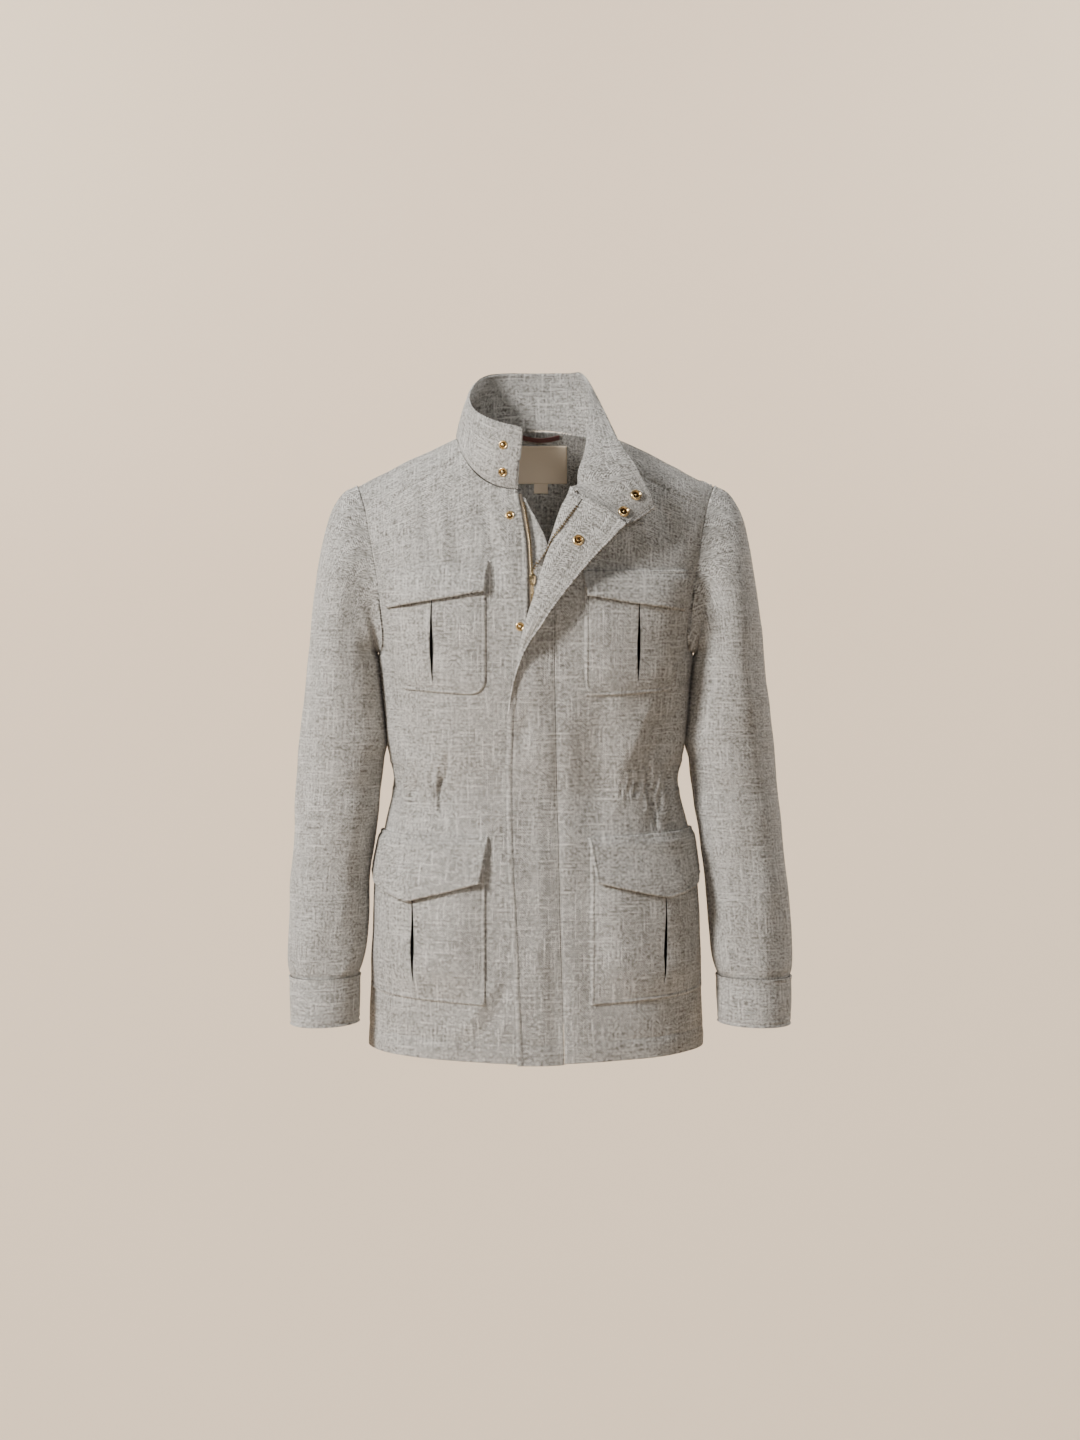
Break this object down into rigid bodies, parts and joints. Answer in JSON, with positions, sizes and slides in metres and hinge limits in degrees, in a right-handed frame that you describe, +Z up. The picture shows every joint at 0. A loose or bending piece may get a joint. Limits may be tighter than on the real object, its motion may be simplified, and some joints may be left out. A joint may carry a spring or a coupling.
{
  "type": "field jacket",
  "caption": "Hip-length field jacket with stand collar, covered front zip, yokes, flap pockets, drawn waist and cuffed sleeves, filled out as worn.",
  "frame": {"origin": "midway between the two side-neck points, over the middle of the wearer's shoulders", "axes": "+X to the wearer's left, +Y to the wearer's back, +Z up"},
  "size_m": [0.6285, 0.2765, 0.8457],
  "materials": {
    "linen_cloth": "washed linen woven with slub yarns, matt, light warm grey",
    "zip_tape": "woven polyester tape, taupe",
    "brass_hardware": "polished light brass plating",
    "woven_label": "woven satin, tan, blank",
    "loop_tape": "narrow woven tape, dark brown"
  },
  "bodies": {
    "root": {"back_left": "linen_cloth", "back_right": "linen_cloth", "chest_flap_left": "linen_cloth", "chest_flap_right": "linen_cloth", "chest_pocket_left": "linen_cloth", "chest_pocket_right": "linen_cloth", "collar": "linen_cloth", "cuff_left": "linen_cloth", "cuff_right": "linen_cloth", "front_left": "linen_cloth", "front_right": "linen_cloth", "hanger_loop": "loop_tape", "hip_flap_left": "linen_cloth", "hip_flap_right": "linen_cloth", "hip_pocket_left": "linen_cloth", "hip_pocket_right": "linen_cloth", "label": "woven_label", "placket": "linen_cloth", "size_tab": "woven_label", "sleeve_left": "linen_cloth", "sleeve_right": "linen_cloth", "socket_collar_1": "brass_hardware", "socket_collar_2": "brass_hardware", "socket_placket": "brass_hardware", "stud_collar_1": "brass_hardware", "stud_collar_2": "brass_hardware", "stud_front_1": "brass_hardware", "stud_front_2": "brass_hardware", "yoke_left": "linen_cloth", "yoke_right": "linen_cloth", "zip_guard": "linen_cloth", "zip_slider": "brass_hardware", "zip_tape_left": "zip_tape", "zip_tape_right": "zip_tape"}
  },
  "joints": []
}
